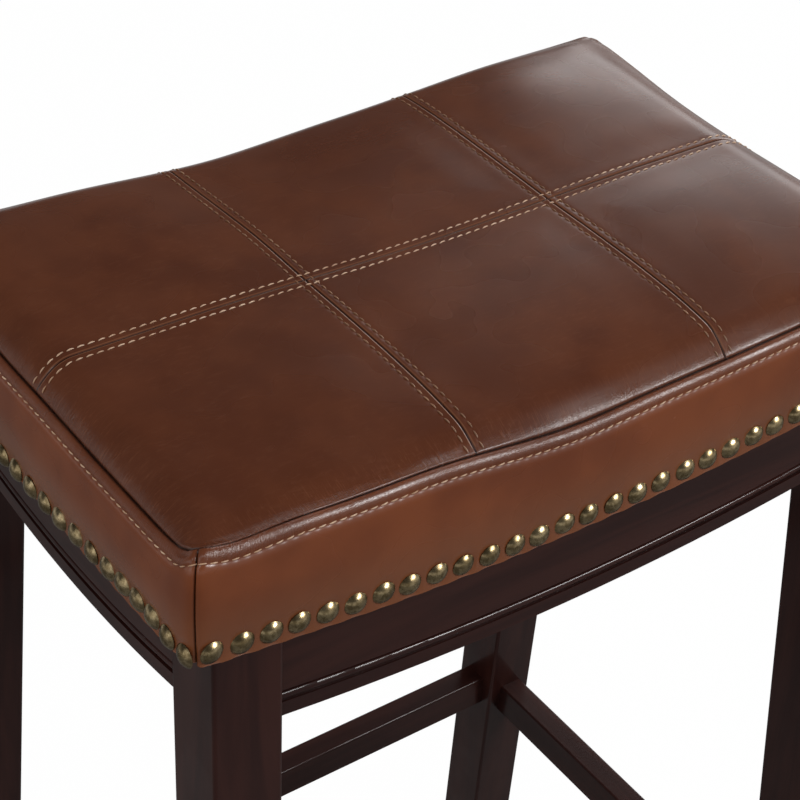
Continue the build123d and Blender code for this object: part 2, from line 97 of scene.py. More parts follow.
# The front seam dips in two places, and the back is fuller and uneven
ripple_height, ripple_at, ripple_reach = 0.0021, -0.100, 0.035
middle_drop, middle_at, middle_reach = 0.0024, -0.018, 0.038
back_swell, swell_at, swell_reach = 0.0023, 0.145, 0.055
back_dent, dent_at, dent_reach = 0.0043, -0.062, 0.060
back_fullness = 0.0065
back_from = 0.02
back_reach = 0.12

# Top, with its falls to the front and the back in millimetres
crown_middle = 0.7540
crown_lift = 0.0029
crown_lift_reach = 0.15
front_fall, front_turn = 4.5, 5.5
back_slope, back_fall, back_turn = 4.0, 2.5, 2.5
crown_back_from = 0.03
crown_back_reach = 0.09
panel_puff = 0.0008

# Sewing
column_seam = seat_width / 6
stitch_offset = 0.0045
stitch_drop = 0.0064
stitch_pitch = 0.0056

# Nails
nail_radius = 0.0063
nail_height = 0.0030
nail_rise = 0.0065
nail_scatter = 0.5 * MM
nails_across = 30
nails_deep = 21
front_nail_margin = 0.010
side_nail_margin = 0.008

# How near two places are to count as the same
tiny = 1e-7
same_edge = 1e-6
same_line = 2e-6


def arc_radius(half_span, dip):
    """Radius of an arc from its half width and its depth."""
    return (half_span**2 + dip**2) / (2 * dip)


def rise(distance, radius):
    """Height of an arc above its lowest point."""
    return radius - math.sqrt(radius**2 - distance**2)


def smooth(value):
    """Eased step from 0 to 1."""
    value = min(1.0, max(0.0, value))
    return value * value * (3 - 2 * value)


def bell(value, width):
    """1 at nothing, falling away smoothly on both sides."""
    return math.exp(-((value / width) ** 2))


half_width = seat_width / 2 - seam_inset
half_depth = seat_depth / 2 - seam_inset
board_radius = arc_radius(seat_width / 2, board_dip)
sag_radius = arc_radius(seat_depth / 2, side_sag)


def seam_level(x, y):
    """Height of the seam between the top and the bands. The stuffing is fuller at the back."""
    x = max(-half_width, min(half_width, x))
    share = x / half_width
    back = smooth((y - back_from) / back_reach)
    saddle = seam_middle + seam_lift * share**2 - seam_flatness * share**4
    skew = -seam_skew * x * (1 - at_ends(x))
    ripple = ripple_height * bell(x - ripple_at, ripple_reach)
    ripple -= middle_drop * bell(x - middle_at, middle_reach)
    front_left = smooth(-y / left_sag_reach) if x < 0 else 0.0
    sag = seam_sag * max(0.0, 1 - (y / half_depth) ** 2) * (1 - front_left)
    sag += left_sag * max(0.0, 1 - (y / half_depth) ** 12) * front_left
    sag *= at_ends(x)
    sag -= corner_rise * near_corner(x, y)
    return saddle + (1 - back) * (skew + ripple) + back * (back_fullness + unevenness(x)) - sag


def at_ends(x):
    """0 over the middle of the seat, rising to 1 at its left and right ends."""
    return smooth((abs(x) - ends_from) / ends_reach)


def near_corner(x, y):
    """1 at the front left corner, where the seam climbs, falling to 0 beside it."""
    across = (x + half_width) / corner_rise_across
    deep = (y + half_depth) / corner_rise_deep
    return bell(math.hypot(across, deep), 1.0)


def unevenness(x):
    """How the back of the top is sat down on one side and fuller on the other."""
    return back_swell * bell(x - swell_at, swell_reach) - back_dent * bell(x - dent_at, dent_reach)


def shoulder_out(drop):
    """How far the band stands out from its upper seam, at a height below it."""
    return seam_inset * (1 - math.exp(-drop / shoulder))


# Modelling with Blender's own tools


def deselect():
    for thing in bpy.context.selected_objects:
        thing.select_set(False)


def pick(piece):
    """Select one piece and make it active."""
    if bpy.context.object and bpy.context.object.mode != "OBJECT":
        bpy.ops.object.mode_set(mode="OBJECT")
    deselect()
    piece.select_set(True)
    bpy.context.view_layer.objects.active = piece


def edit(piece):
    pick(piece)
    bpy.ops.object.mode_set(mode="EDIT")
    bpy.ops.mesh.select_all(action="DESELECT")


def done():
    bpy.ops.object.mode_set(mode="OBJECT")


def select_where(piece, kind, test):
    """Select the faces whose middle passes a test, or the edges whose ends both do."""
    bpy.ops.mesh.select_all(action="DESELECT")
    bpy.ops.mesh.select_mode(type=kind)
    done()
    mesh = piece.data
    for part in mesh.edges if kind == "EDGE" else mesh.polygons:
        if kind == "EDGE":
            part.select = all(test(mesh.vertices[i].co) for i in part.vertices)
        else:
            part.select = test(part.center)
    bpy.ops.object.mode_set(mode="EDIT")


def finish_shape(piece, name, angle=None):
    """Name a new piece, put its place in its mesh and shade it smooth."""
    pick(piece)
    piece.name = name
    piece.data.name = name
    bpy.ops.object.transform_apply(location=True, rotation=True, scale=True)
    if angle is None:
        bpy.ops.object.shade_smooth()
    else:
        bpy.ops.object.shade_smooth_by_angle(angle=math.radians(angle))
    return piece


# Camera, at the photograph's viewing place

yaw, pitch, roll = 0.6524, -0.6300, 0.0610
camera_place = Vector((-0.5699, -0.7280, 1.3238))
lens = 93.2
film_width = 36
forward = Vector(
    (math.sin(yaw) * math.cos(pitch), math.cos(yaw) * math.cos(pitch), math.sin(pitch))
)
level_right = Vector((math.cos(yaw), -math.sin(yaw), 0))
level_up = level_right.cross(forward)
right = level_right * math.cos(roll) + level_up * math.sin(roll)
up = level_up * math.cos(roll) - level_right * math.sin(roll)
camera_data = bpy.data.cameras.new("camera")
camera_data.sensor_width = film_width
camera_data.lens = lens
camera = bpy.data.objects.new("camera", camera_data)
turned = Matrix((right, up, -forward)).transposed().to_4x4()
camera.matrix_world = Matrix.Translation(camera_place) @ turned
scene.collection.objects.link(camera)
scene.camera = camera


# Materials: sums on sockets are written as plain expressions


class Value:
    """A socket whose sums add Math nodes."""

    def __init__(self, finish, socket):
        self.finish = finish
        self.socket = socket

    def __add__(self, other):
        return self.finish.sum("ADD", self, other)

    __radd__ = __add__

    def __mul__(self, other):
        return self.finish.sum("MULTIPLY", self, other)

    __rmul__ = __mul__

    def __sub__(self, other):
        return self.finish.sum("SUBTRACT", self, other)

    def __rsub__(self, other):
        return self.finish.sum("SUBTRACT", other, self)

    def __truediv__(self, other):
        return self.finish.sum("DIVIDE", self, other)


class Finish:
    """A node tree of a material or the world, with one way to add a node."""

    def __init__(self, owner):
        owner.use_nodes = True
        self.owner = owner
        self.tree = owner.node_tree
        self.tree.nodes.clear()

    def node(self, kind, settings=None, sockets=None, output=0):
        """A node, with its settings, and the values or links of its sockets."""
        made = self.tree.nodes.new(kind)
        for name, value in (settings or {}).items():
            setattr(made, name, value)
        for name, value in (sockets or {}).items():
            if isinstance(value, Value):
                self.tree.links.new(value.socket, made.inputs[name])
            else:
                made.inputs[name].default_value = value
        return Value(self, made.outputs[output])

    def sum(self, operation, first, second=0.0):
        return self.node("ShaderNodeMath", {"operation": operation}, {0: first, 1: second})

    def step(self, value, low, high, start=0.0, end=1.0):
        """Eased step between two values."""
        return self.node(
            "ShaderNodeMapRange",
            {"interpolation_type": "SMOOTHSTEP"},
            {"Value": value, "From Min": low, "From Max": high, "To Min": start, "To Max": end},
        )

    def ridge(self, value, width):
        """1 where a value is nothing, falling to 0 at a width either side."""
        return self.step(self.sum("ABSOLUTE", value), 0.0, width, 1.0, 0.0)

    def mix(self, share, first, second):
        """Colour between two colours."""
        colours = {0: share, 6: first, 7: second}
        for place in (6, 7):
            if isinstance(colours[place], tuple):
                colours[place] = (*colours[place], 1)
        return self.node("ShaderNodeMix", {"data_type": "RGBA"}, colours, 2)

    def place(self):
        return self.node("ShaderNodeTexCoord", output="Object")

    def rays(self, kind):
        return self.node("ShaderNodeLightPath", output=kind)

    def attribute(self, name):
        return self.node("ShaderNodeAttribute", {"attribute_name": name}, output="Fac")

    def stretch(self, vector, scale):
        return self.node(
            "ShaderNodeVectorMath", {"operation": "MULTIPLY"}, {0: vector, 1: scale}
        )

    def noise(self, vector, scale, detail=2.0, roughness=0.5, distortion=0.0):
        return self.node(
            "ShaderNodeTexNoise",
            {},
            {
                "Vector": vector,
                "Scale": scale,
                "Detail": detail,
                "Roughness": roughness,
                "Distortion": distortion,
            },
        )

    def cells(self, vector, scale):
        """Distance from the middle of the nearest cell."""
        return self.node(
            "ShaderNodeTexVoronoi", {"feature": "F1"}, {"Vector": vector, "Scale": scale}
        )

    def part(self, vector, number):
        """One of the three parts of a vector."""
        return self.node("ShaderNodeSeparateXYZ", {}, {0: vector}, number)

    def bump(self, height, strength=1.0):
        """A normal, from heights in millimetres."""
        return self.node(
            "ShaderNodeBump", {}, {"Height": height, "Strength": strength, "Distance": MM}
        )


def new_finish(name):
    return Finish(bpy.data.materials.new(name))


def node_output(finish, kind, surface):
    """End a tree with its output node."""
    made = finish.tree.nodes.new(kind)
    finish.tree.links.new(surface.socket, made.inputs["Surface"])


def skin(finish, **sockets):
    """Give a material its shader, whose sockets have spaces in their names."""
    named = {name.replace("_", " "): value for name, value in sockets.items()}
    shader = finish.node("ShaderNodeBsdfPrincipled", {}, named)
    node_output(finish, "ShaderNodeOutputMaterial", shader)
    return finish.owner


def leather_dye_and_painted_light(f, place, inset, sewn, on_top):
    """Colour of the leather: redder bands, a darker top, painted shade in its seams and a painted
    highlight on the panel seams' folded edges.
    """
    dark_top, light_top = (0.078, 0.0180, 0.0050), (0.104, 0.0265, 0.0080)
    dark_band, light_band = (0.134, 0.0310, 0.0078), (0.184, 0.0465, 0.0128)
    low_band = (0.195, 0.074, 0.0300)
    # Colours of the painted highlight on the folded edges and of the painted shade in the seams
    fold_highlight_colour, seam_shade_colour = (0.24, 0.10, 0.045), (0.010, 0.003, 0.002)
    cloudy = f.noise(place, 11.0, 2.0, 0.5, 0.6)
    patchy = f.noise(place, 46.0, 3.0, 0.5)
    dye = f.step(cloudy * 0.65 + patchy * 0.35, 0.36, 0.64)
    top_colour = f.mix(dye, dark_top, light_top)
    band_colour = f.mix(dye, dark_band, light_band)
    band_colour = f.mix(f.step(inset, -50.0, -16.0, 0.45, 0.0), band_colour, low_band)
    shaded = f.step(inset, -8.5, -5.0) * 0.55 + on_top * 0.45
    colour = f.mix(shaded, band_colour, top_colour)
    # A painted highlight along the folded edges beside the panel seams
    panel_seam = f.step(inset, 3.0, 5.0)
    painted_fold_highlight = f.ridge(sewn - 1.1, 0.6) * panel_seam
    colour = f.mix(painted_fold_highlight * 0.45, colour, fold_highlight_colour)
    # Painted shade in the seams, near black within about 0.75 mm of each seam
    painted_seam_shade = f.step(sewn, 0.1, 0.75, 1.0, 0.0)
    return f.mix(painted_seam_shade * 0.9, colour, seam_shade_colour)


def stitch_puckers(f, place, inset, run, on_top):
    """Small puckers at every stitch, along the bands and beside the panel seams."""
    reach = 2.6
    turns = 2 * math.pi / stitch_pitch
    beat = f.sum("SINE", run * (turns * MM))
    puckers = beat * f.ridge(inset + stitch_drop / MM, reach) * 0.08
    x, y = f.part(place, 0), f.part(place, 1)
    along_y, along_x = f.sum("SINE", y * turns), f.sum("SINE", x * turns)
    from_column = f.sum("ABSOLUTE", f.sum("ABSOLUTE", x) - column_seam)
    columns = f.ridge(from_column - stitch_offset, reach * MM)
    middle = f.ridge(f.sum("ABSOLUTE", y) - stitch_offset, reach * MM)
    return puckers + (along_y * columns + along_x * middle) * on_top * 0.03


def leather_finish():
    """Polished brown leather: soft uneven dye, fine wrinkles, and puckers where it is sewn.

    It follows four attributes, in millimetres: inset is the way in from the edge seam, less
    than nothing down the bands, run is the length along that seam, sewn is the distance
    from the nearest seam, and clear is 0 at the corners, where folds would meet.
    """
    f = new_finish("brown_leather")
    place = f.place()
    inset, run = f.attribute("inset"), f.attribute("run")
    sewn, clear = f.attribute("sewn"), f.attribute("clear")
    on_top = f.step(inset, -0.4, 0.4)
    colour = leather_dye_and_painted_light(f, place, inset, sewn, on_top)
    # Fine wrinkles, where the leather is lighter
    wrinkle_colour, streak_colour = (0.25, 0.10, 0.050), (0.24, 0.085, 0.038)
    slanted = f.node(
        "ShaderNodeMapping",
        {},
        {"Vector": place, "Rotation": (0.0, 0.0, 0.9), "Scale": (150.0, 520.0, 150.0)},
    )
    some = f.step(f.noise(place, 19.0, 2.0), 0.30, 0.70, 0.35, 1.0) * on_top
    wrinkles = f.step(f.noise(slanted, 1.0, 4.0, 0.62, 0.5), 0.50, 0.70) * some
    colour = f.mix(wrinkles * 0.08, colour, wrinkle_colour)
    # Folds beside the edge seam, across it
    crease_place = f.node("ShaderNodeCombineXYZ", {}, {0: run * 1.5, 1: inset * 0.11, 2: 0.0})
    creases = f.noise(crease_place, 1.0, 4.0, 0.68, 0.6)
    along_edge = f.node("ShaderNodeCombineXYZ", {}, {0: run * 0.018, 1: 0.0, 2: 3.1})
    gather = f.step(f.noise(along_edge, 1.0, 1.0), 0.34, 0.60, 0.45, 1.0)
    near_edge = f.step(inset, 1.5, 11.0, 1.0, 0.0) * f.step(inset, -7.5, -5.0) * clear
    folds = creases * near_edge * gather
    wide = f.step(inset, 3.0, 22.0, 1.0, 0.0) * on_top * clear
    streaks = f.step(creases, 0.52, 0.66) * wide
    colour = f.mix(streaks * 0.30, colour, streak_colour)
    puckers = stitch_puckers(f, place, inset, run, on_top)
    pores = f.noise(place, 420.0, 4.0, 0.6)
    return skin(
        f,
        Base_Color=colour,
        Roughness=f.step(f.noise(place, 25.0, 1.0, 0.5), 0.25, 0.75, 0.25, 0.29),
        Specular_IOR_Level=0.5,
        Normal=f.bump(folds * 0.45 + puckers + wrinkles * 0.010 + pores * 0.02, 0.9),
    )


def thread_finish(name, dark, light):
    """Waxed thread with a visible twist."""
    # Painted shade in the hollows of the twist, mixed in by the fine twist noise
    twist_shade = (0.16, 0.075, 0.030)
    f = new_finish(name)
    place = f.place()
    twist = f.noise(place, 900.0, 2.0)
    shade = f.noise(place, 60.0, 2.0)
    colour = f.mix(f.step(shade, 0.3, 0.7), dark, light)
    return skin(
        f,
        Base_Color=f.mix(twist * 0.4, colour, twist_shade),
        Roughness=0.4,
        Normal=f.bump(twist * 0.08, 1.0),
    )


def brass_finish():
    """Darkened brass, brighter where the domes are worn."""
    dark_brass, rubbed_brass = (0.165, 0.120, 0.058), (0.38, 0.295, 0.165)
    f = new_finish("antique_brass")
    place = f.place()
    mottle = f.noise(place, 420.0, 4.0, 0.6)
    broad = f.noise(place, 90.0, 2.0)
    tarnish = f.step(mottle * 0.6 + broad * 0.4, 0.40, 0.62)
    return skin(
        f,
        Base_Color=f.mix(tarnish, dark_brass, rubbed_brass),
        Metallic=0.96,
        Roughness=f.step(mottle, 0.3, 0.7, 0.32, 0.22),
        Normal=f.bump(mottle * 0.02, 0.8),
    )


def espresso_finish(name, stretch):
    """Dark lacquered wood with its grain along the piece."""
    dark_grain, light_grain = (0.0205, 0.0052, 0.0040), (0.0360, 0.0103, 0.0074)
    f = new_finish(name)
    place = f.place()
    long = f.stretch(place, stretch)
    grain = f.noise(long, 1.0, 5.0, 0.6, 0.4)
    pores = f.noise(f.stretch(long, (3.0, 3.0, 3.0)), 1.0, 2.0)
    fine = f.noise(place, 30.0, 2.0)
    return skin(
        f,
        Base_Color=f.mix(f.step(grain, 0.35, 0.68), dark_grain, light_grain),
        Roughness=f.step(fine, 0.3, 0.7, 0.34, 0.46),
        Specular_IOR_Level=0.12,
        Coat_Weight=0.44,
        Coat_Roughness=0.13,
        Coat_IOR=1.42,
        Normal=f.bump(grain * 0.05 + f.step(pores, 0.62, 0.75) * -0.03, 0.6),
    )


def pine_finish():
    """Bare sawn pine."""
    light_ring, dark_ring, sapwood = (0.56, 0.37, 0.20), (0.36, 0.20, 0.09), (0.62, 0.45, 0.27)
    f = new_finish("sawn_pine")
    place = f.place()
    long = f.node("ShaderNodeMapping", {}, {"Vector": place, "Scale": (90.0, 90.0, 420.0)})
    grain = f.noise(long, 1.0, 4.0, 0.6, 0.8)
    broad = f.noise(place, 26.0, 2.0)
    colour = f.mix(f.step(grain, 0.35, 0.7), light_ring, dark_ring)
    return skin(
        f,
        Base_Color=f.mix(f.step(broad, 0.4, 0.8), colour, sapwood),
        Roughness=f.step(grain, 0.3, 0.7, 0.6, 0.78),
        Normal=f.bump(grain * 0.25, 0.7),
    )


def plywood_finish():
    """Bent plywood, with its plies showing at the edges."""
    ply_pair = 0.003
    light_face, dark_face, end_grain = (0.58, 0.41, 0.25), (0.42, 0.26, 0.13), (0.22, 0.12, 0.06)
    f = new_finish("plywood")
    place = f.place()
    across, height = f.part(place, 0), f.part(place, 2)
    arc = across * across / (2 * board_radius)
    plies = f.step(f.sum("SINE", (height - arc) * (2 * math.pi / ply_pair)), -0.3, 0.3)
    grain = f.noise(f.stretch(place, (14.0, 160.0, 160.0)), 1.0, 4.0, 0.6)
    face = f.mix(f.step(grain, 0.3, 0.7), light_face, dark_face)
    normal = f.node("ShaderNodeNewGeometry", output="Normal")
    edge = f.step(f.sum("ABSOLUTE", f.part(normal, 2)), 0.3, 0.7, 1.0, 0.0)
    return skin(
        f,
        Base_Color=f.mix(plies * edge * 0.7, face, end_grain),
        Roughness=0.7,
        Normal=f.bump(grain * 0.15, 0.6),
    )


def foam_finish():
    """Cut foam with open cells."""
    f = new_finish("cut_foam")
    place = f.place()
    # Darker towards the middle of each cell, where the bump sinks: painted shade in the open cells
    holes = f.cells(place, 900.0)
    return skin(
        f,
        Base_Color=f.mix(holes, (0.70, 0.60, 0.34), (0.84, 0.77, 0.55)),
        Roughness=0.95,
        Normal=f.bump(holes * 0.4, 1.0),
    )


def dust_cloth_finish():
    """Pressed black cloth with a dotted bond pattern."""
    f = new_finish("dust_cloth")
    place = f.place()
    fibres = f.noise(f.stretch(place, (300.0, 900.0, 300.0)), 1.0, 4.0, 0.7, 1.2)
    dots = f.step(f.cells(place, 520.0), 0.25, 0.45, 1.0, 0.0)
    return skin(
        f,
        Base_Color=f.mix(fibres, (0.010, 0.010, 0.011), (0.042, 0.041, 0.042)),
        Roughness=f.step(dots, 0.0, 1.0, 0.9, 0.6),
        Normal=f.bump(fibres * 0.12 - dots * 0.12, 0.9),
    )


def zinc_finish():
    """Zinc-plated steel."""
    f = new_finish("zinc_steel")
    place = f.place()
    spangle = f.noise(place, 260.0, 3.0)
    return skin(
        f,
        Base_Color=f.mix(spangle, (0.42, 0.42, 0.40), (0.66, 0.65, 0.60)),
        Metallic=1.0,
        Roughness=f.step(spangle, 0.3, 0.7, 0.26, 0.42),
        Normal=f.bump(spangle * 0.04, 0.6),
    )


def plastic_finish():
    """Black moulded plastic, scuffed where it slides."""
    f = new_finish("glide_plastic")
    place = f.place()
    rub = f.noise(place, 300.0, 4.0)
    return skin(
        f,
        Base_Color=f.mix(rub, (0.016, 0.016, 0.017), (0.034, 0.033, 0.032)),
        Roughness=f.step(rub, 0.3, 0.7, 0.4, 0.6),
        Normal=f.bump(rub * 0.05, 0.6),
    )


finishes = {
    "faux_leather": leather_finish(),
    "antique_brass": brass_finish(),
    "upright": espresso_finish("espresso_upright", (70.0, 70.0, 4.0)),
    "across": espresso_finish("espresso_across", (4.0, 70.0, 70.0)),
    "deep": espresso_finish("espresso_deep", (70.0, 4.0, 70.0)),
    "raw_pine": pine_finish(),
    "plywood": plywood_finish(),
    "foam": foam_finish(),
    "dust_cloth": dust_cloth_finish(),
    "zinc_steel": zinc_finish(),
    "glide_plastic": plastic_finish(),
    "thread": thread_finish("tan_thread", (0.46, 0.26, 0.150), (0.74, 0.52, 0.36)),
    "dull_thread": thread_finish("dull_thread", (0.20, 0.095, 0.045), (0.36, 0.20, 0.115)),
}


def give(piece, finish):
    piece.data.materials.clear()
    piece.data.materials.append(finishes[finish])


slots = {row["node"]: row["material_slot"] for row in frame["record"]["subparts"]}
for name, piece in nodes.items():
    finish = slots[name]
    if finish == "espresso_wood":
        if name.startswith("leg_"):
            finish = "upright"
        elif name.endswith(("front", "back")):
            finish = "across"
        else:
            finish = "deep"
    give(piece, finish)


# Cushion: a flat grid with its sides let down, then formed to the saddle


def spaced(stops, step):
    """Every stop, and places between them no further apart than a step."""
    stops = sorted(stops)
    places = [stops[0]]
    for stop in stops[1:]:
        gap = stop - places[-1]
        parts = max(1, math.ceil(gap / step))
        start = places[-1]
        places += [start + gap * part / parts for part in range(1, parts + 1)]
    return places


# Lines are closer together beside the seams and down to the stitches, and 2.1 mm apart elsewhere
grid_step = 2.1 * MM
roll_insets = [mm * MM for mm in (0, 0.45, 0.95, 1.5, 2.2, 3.0, 4.0, 5.2, 6.6, 8.2, 10.0, 12.0)]
seam_steps = [mm * MM for mm in (0, 0.35, 0.8, 1.4, 2.2, 3.1, 3.8, 4.5, 5.2, 6.0, 7.2, 9.0)]


def line_places(half, seams):
    """Places of the pattern's lines across it, from one edge to the other."""
    stops = {round(side * (half - inset), 7) for side in (-1, 1) for inset in roll_insets}
    for seam in seams:
        stops |= {round(seam + side * step, 7) for side in (-1, 1) for step in seam_steps}
    return spaced(stops, grid_step)


columns = line_places(half_width, (-column_seam, column_seam))
rows = line_places(half_depth, (0,))
drops = [
    mm * MM
    for mm in (
        0.3, 0.7, 1.2, 1.9, 2.7, 3.6, 4.6, 5.6, 6.4, 7.2, 8.0, 8.8, 9.6, 10.4, 11.4, 12.8,
        14.6, 16.8, 19.2, 21.8, 24.6, 27.6, 30.6, 33.6, 36.6, 39.4, 42.0, 44.4, 46.6, 48.6,
        50.6, 52.4, 54.0, 55.2, 56.2, 57.0,
    )
]
rim_drop = 0.059
inner_drop = 0.075


def on_inner_edge(distance, z):
    """Whether a point is on the pattern's lowest edge, at a distance from one of its sides."""
    return abs(distance) < same_edge and z < MM - inner_drop


deselect()
bpy.ops.mesh.primitive_grid_add(
    x_subdivisions=len(columns) - 1, y_subdivisions=len(rows) - 1, size=1
)
cushion = bpy.context.object
for vertex in cushion.data.vertices:
    column = round((vertex.co.x + 0.5) * (len(columns) - 1))
    row = round((vertex.co.y + 0.5) * (len(rows) - 1))
    vertex.co = (columns[column], rows[row], 0)
edit(cushion)
bpy.ops.mesh.select_mode(type="EDGE")
bpy.ops.mesh.select_non_manifold()
last = 0.0
for drop in (*drops, rim_drop, inner_drop):
    bpy.ops.mesh.extrude_edges_move(TRANSFORM_OT_translate={"value": (0, 0, last - drop)})
    last = drop
select_where(cushion, "EDGE", lambda co: on_inner_edge(abs(co.y) - half_depth, co.z))
bpy.ops.mesh.bridge_edge_loops()
for side in (-1, 1):
    select_where(cushion, "EDGE", lambda co: on_inner_edge(co.x - side * half_width, co.z))
    bpy.ops.mesh.edge_face_add()
bpy.ops.mesh.select_all(action="SELECT")
bpy.ops.mesh.normals_make_consistent(inside=False)
done()
flat = [vertex.co.copy() for vertex in cushion.data.vertices]


def left_out(y):
    """How much further out the left side stands, less at its front corner."""
    return left_fullness * smooth((y + half_depth) / left_corner_reach + left_corner_share)


def outline(across, along, out):
    """Place in plan of a point of the pattern, let out, with the corners rounded."""
    x_side = 1 if across > 0 else -1
    y_side = 1 if along > 0 else -1
    from_side = half_width - abs(across)
    from_front = half_depth - abs(along)
    x = across + x_side * out * smooth(1 - from_side / let_out_reach)
    y = along + y_side * out * smooth(1 - from_front / let_out_reach)
    if from_side < corner_radius and from_front < corner_radius:
        inset = min(from_side, from_front)
        radius = corner_radius - inset
        turn = math.pi / 4 * (1 - (max(from_side, from_front) - inset) / max(radius, 1e-9))
        near = corner_radius - radius * math.cos(turn)
        far = corner_radius - radius * math.sin(turn)
        new_side, new_front = (near, far) if from_side <= from_front else (far, near)
        x = x_side * (half_width + out - new_side)
        y = y_side * (half_depth + out - new_front)
    return x - left_out(y) * smooth((-x - left_from) / left_reach), y


def crown_level(x, y):
    """Height of the top, with each panel puffed up, before its edges roll down."""
    valley = max(0.0, 1 - abs(abs(x) - column_seam) / column_seam)
    across = math.sin(math.pi * min(1.0, abs(y) / half_depth))
    top = crown_middle + crown_lift * smooth(abs(x) / crown_lift_reach)
    share = y / half_depth
    if y < 0:
        top -= (front_fall * share**2 + front_turn * share**6) * MM
    else:
        top += (back_slope * share - back_fall * share**2 - back_turn * share**6) * MM
        top += unevenness(x) * smooth((y - crown_back_from) / crown_back_reach)
    return top + panel_puff * across * (1 - 0.5 * smooth(valley))


def rolled(inset, width):
    """Share of the full height reached at a distance from the edge seam."""
    return 1 - (1 - min(1.0, max(0.0, inset) / width)) ** roll_power


def roll_arc(inset):
    """Length over the leather from the edge seam, for a distance in plan."""
    return inset + 0.3 * min(inset, 0.010)


def formed(point):
    """Where a point of the flat pattern lies on the cushion."""
    drop = -point.z
    from_side = half_width - abs(point.x)
    from_front = half_depth - abs(point.y)
    x, y = outline(point.x, point.y, 0)
    seam = seam_level(x, y)
    if drop < tiny:
        side_roll = left_roll if point.x < 0 else right_roll
        height = (crown_level(x, y) - seam) * rolled(from_side, side_roll)
        height *= rolled(from_front, front_roll if point.y < 0 else back_roll)
        return Vector((x, y, seam + height))
    if from_front <= from_side:
        low = board_middle + rise(min(abs(x), seat_width / 2), board_radius)
    else:
        low = edge_height - side_sag + rise(min(abs(y), seat_depth / 2), sag_radius)
    if drop > drops[-1] + tiny:
        x, y = outline(point.x, point.y, seam_inset - leather)
        if drop > rim_drop + tiny:
            low = board_middle + board_thickness + rise(x, board_radius - board_thickness)
        return Vector((x, y, low))
    squeeze = 1.0
    if from_front > from_side:
        squeeze -= side_squeeze * smooth(from_front / side_squeeze_reach)
    squeeze -= corner_squeeze * near_corner(x, y)
    x, y = outline(point.x, point.y, shoulder_out(drop))
    if drop <= even_drop:
        return Vector((x, y, seam - drop * squeeze))
    # Below its first part the band stretches evenly down to the board's edge
    evenly = even_drop * squeeze
    share = (drop - even_drop) / (band_height - even_drop)
    return Vector((x, y, seam - evenly - share * (seam - low - evenly)))


def from_corner(point):
    """Distance along the band from its nearest corner seam, in the flat."""
    return max(half_width - abs(point.x), half_depth - abs(point.y))


side_run_start = 0.7


def run_of(point):
    """Length along the edge seam, with the sides' lengths kept apart from the front's."""
    if half_depth - abs(point.y) <= half_width - abs(point.x):
        return point.x
    return point.y + side_run_start


for vertex, point in zip(cushion.data.vertices, flat):
    vertex.co = formed(point)
cushion.data.update()


# The cover swells between its seams

pad_voxel = 0.0052
seam_hold = 0.006
edge_hold, edge_hold_drop = 0.007, 0.004
low_hold_drop = 0.044
swelling_frames = 20
swelling = {
    "quality": 5,
    "mass": 0.3,
    "tension_stiffness": 25,
    "compression_stiffness": 25,
    "shear_stiffness": 12,
    "bending_stiffness": 2,
    "use_pressure": True,
    "uniform_pressure_force": 4,
    "vertex_group_mass": "held",
}
swell_limit = 0.0012
swell_carry = 0.013
swell_drop = 0.05
swell_start, swell_ease = 0.003, 0.034


def is_held(place):
    """Whether a point of the pad is sewn or pulled down, so that it doesn't swell."""
    below = seam_level(place.x, place.y) - place.z
    beside_edge = abs(below - edge_hold_drop) < edge_hold
    beside_panel_seam = min(abs(abs(place.x) - column_seam), abs(place.y)) < seam_hold
    return below > low_hold_drop or beside_edge or (below < 0 and beside_panel_seam)


def swollen_pad(body):
    """A remeshed copy of the cushion, and where its points were before it was blown up."""
    pick(body)
    bpy.ops.object.duplicate()
    pad = bpy.context.object
    pad.name = "swollen_pad"
    remesh = pad.modifiers.new("even", "REMESH")
    remesh.mode = "VOXEL"
    remesh.voxel_size = pad_voxel
    bpy.ops.object.modifier_apply(modifier=remesh.name)
    held = pad.vertex_groups.new(name="held")
    held.add([vertex.index for vertex in pad.data.vertices if is_held(vertex.co)], 1.0, "REPLACE")
    rest = [vertex.co.copy() for vertex in pad.data.vertices]
    cloth = pad.modifiers.new("swelling", "CLOTH")
    for name, value in swelling.items():
        setattr(cloth.settings, name, value)
    cloth.settings.effector_weights.gravity = 0
    cloth.point_cache.frame_start = 1
    cloth.point_cache.frame_end = swelling_frames
    for number in range(1, swelling_frames + 1):
        scene.frame_set(number)
    bpy.ops.object.modifier_apply(modifier=cloth.name)
    scene.frame_set(1)
    return pad, rest


def swell(body):
    """Move the cushion's points as its swollen copy moved beside them."""
    pad, rest = swollen_pad(body)
    tree = KDTree(len(rest))
    moves = []
    for number, (before, vertex) in enumerate(zip(rest, pad.data.vertices)):
        move = vertex.co - before
        moves.append(move / (1 + move.length / swell_limit))
        tree.insert(before, number)
    tree.balance()
    for vertex, point in zip(body.data.vertices, flat):
        if -point.z > swell_drop:
            continue
        eased = 1.0
        if point.z > -tiny:
            from_seam = min(abs(abs(point.x) - column_seam), abs(point.y))
            eased = smooth((from_seam - swell_start) / swell_ease)
        total, weight = Vector(), 0.0
        for place, number, distance in tree.find_range(vertex.co, swell_carry):
            share = (1 - (distance / swell_carry) ** 2) ** 2
            total += moves[number] * share
            weight += share
        if weight:
            vertex.co += total / weight * eased
    body.data.update()
    bpy.data.objects.remove(pad)


swell(cushion)


# Seams are pressed in and the leather beside them puckers

random.seed(7)


def nail_places(length, margin, count):
    """Even places of the nails along a side."""
    return [margin - length / 2 + (length - 2 * margin) * n / (count - 1) for n in range(count)]


front_nails = nail_places(seat_width, front_nail_margin, nails_across)
side_nails = nail_places(seat_depth, side_nail_margin, nails_deep)

